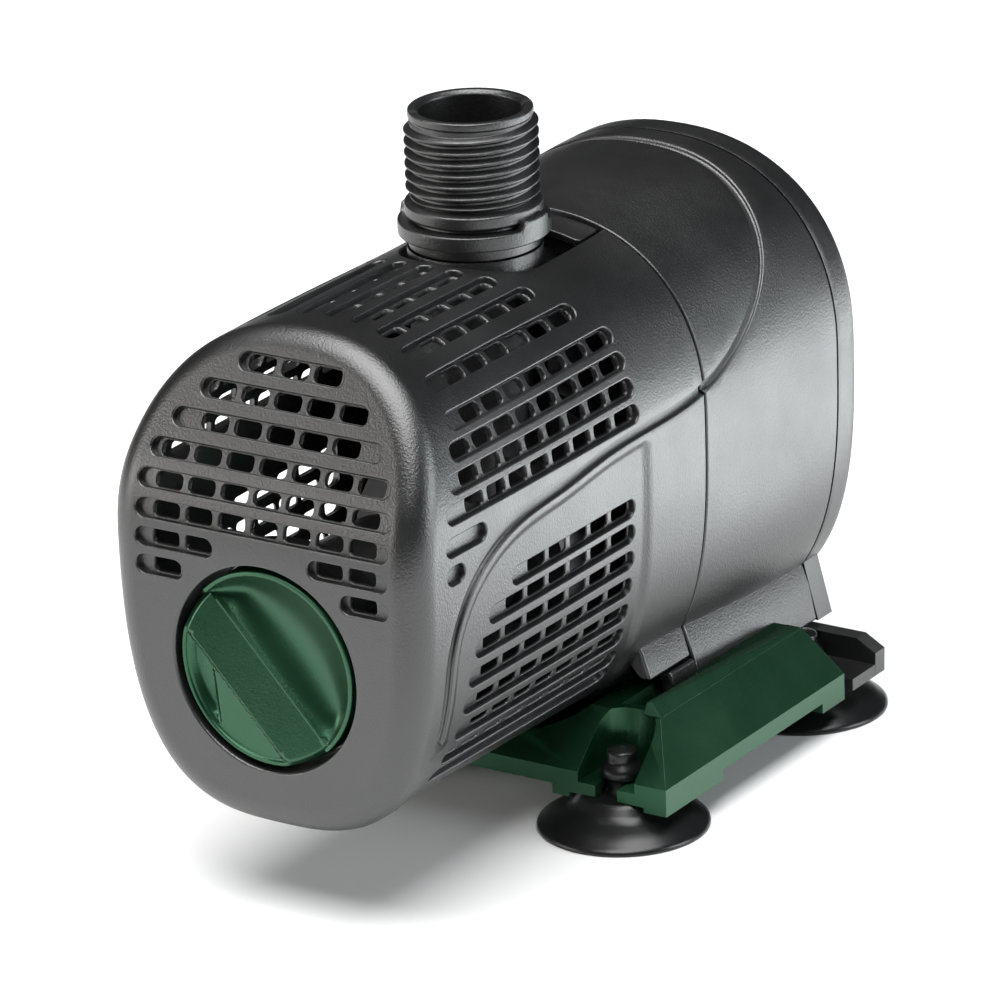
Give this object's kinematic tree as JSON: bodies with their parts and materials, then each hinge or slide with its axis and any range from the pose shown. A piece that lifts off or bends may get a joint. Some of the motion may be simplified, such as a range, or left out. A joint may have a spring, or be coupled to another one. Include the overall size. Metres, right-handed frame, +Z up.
{
  "type": "fountain submersible pump",
  "caption": "Compact submersible fountain pump: slotted strainer cover with flow knob, threaded top outlet, sealed motor behind, sled on suction cups.",
  "frame": {"origin": "centre of the bottom of the whole pump, on the floor under the suction cups", "axes": "+Z up along the outlet, -Y out of the pump's face where the flow knob is, +X to the right seen from the front"},
  "size_m": [0.0814, 0.1262, 0.1127],
  "materials": {
    "black_plastic": "satin moulded",
    "green_plastic": "satin moulded",
    "rubber": "smooth",
    "steel": "plain",
    "ceramic": "ground",
    "ferrite": "ground",
    "laminations": "stacked sheet",
    "white_plastic": "moulded",
    "copper": "enamelled wire",
    "resin": "cast"
  },
  "bodies": {
    "housing": {"motor_housing": "black_plastic", "rear_cap": "black_plastic", "cable_gland": "rubber", "rotor_can": "black_plastic", "stator_core": "laminations", "coil_bobbin_left": "white_plastic", "coil_bobbin_right": "white_plastic", "coil_winding_left": "copper", "coil_winding_right": "copper", "resin_potting": "resin", "pump_chamber": "black_plastic", "chamber_backplate": "black_plastic", "chamber_o_ring": "rubber", "chamber_screws": "steel", "front_bush": "rubber", "rear_bush": "rubber", "rotor_shaft": "ceramic", "front_thrust_washer": "ceramic", "rear_thrust_washer": "ceramic", "outlet_fitting": "black_plastic", "outlet_o_ring": "rubber"},
    "cover": {"strainer_cover": "black_plastic"},
    "knob": {"flow_knob": "green_plastic", "knob_clip": "steel", "regulator_sleeve": "black_plastic"},
    "rotor": {"impeller": "black_plastic", "magnet_rotor": "ferrite"},
    "sled": {"base_sled": "green_plastic", "rear_foot_left": "black_plastic", "rear_foot_right": "black_plastic", "suction_cup_front_left": "rubber", "suction_cup_front_right": "rubber", "suction_cup_rear_left": "rubber", "suction_cup_rear_right": "rubber"}
  },
  "joints": [
    {"name": "cover_pull", "type": "slide", "parent": "housing", "child": "cover", "axis": [0, -1, 0], "range_m": [0, 0.08]},
    {"name": "knob_turn", "type": "hinge", "parent": "cover", "child": "knob", "pos_m": [0, -0.0581, 0.041], "axis": [0, 1, 0], "range_deg": [-38, 52]},
    {"name": "rotor_spin", "type": "hinge", "parent": "housing", "child": "rotor", "pos_m": [0, 0.0169, 0.041], "axis": [0, 1, 0], "continuous": true},
    {"name": "sled_slide", "type": "slide", "parent": "housing", "child": "sled", "axis": [0, -1, 0], "range_m": [0, 0.03]}
  ]
}
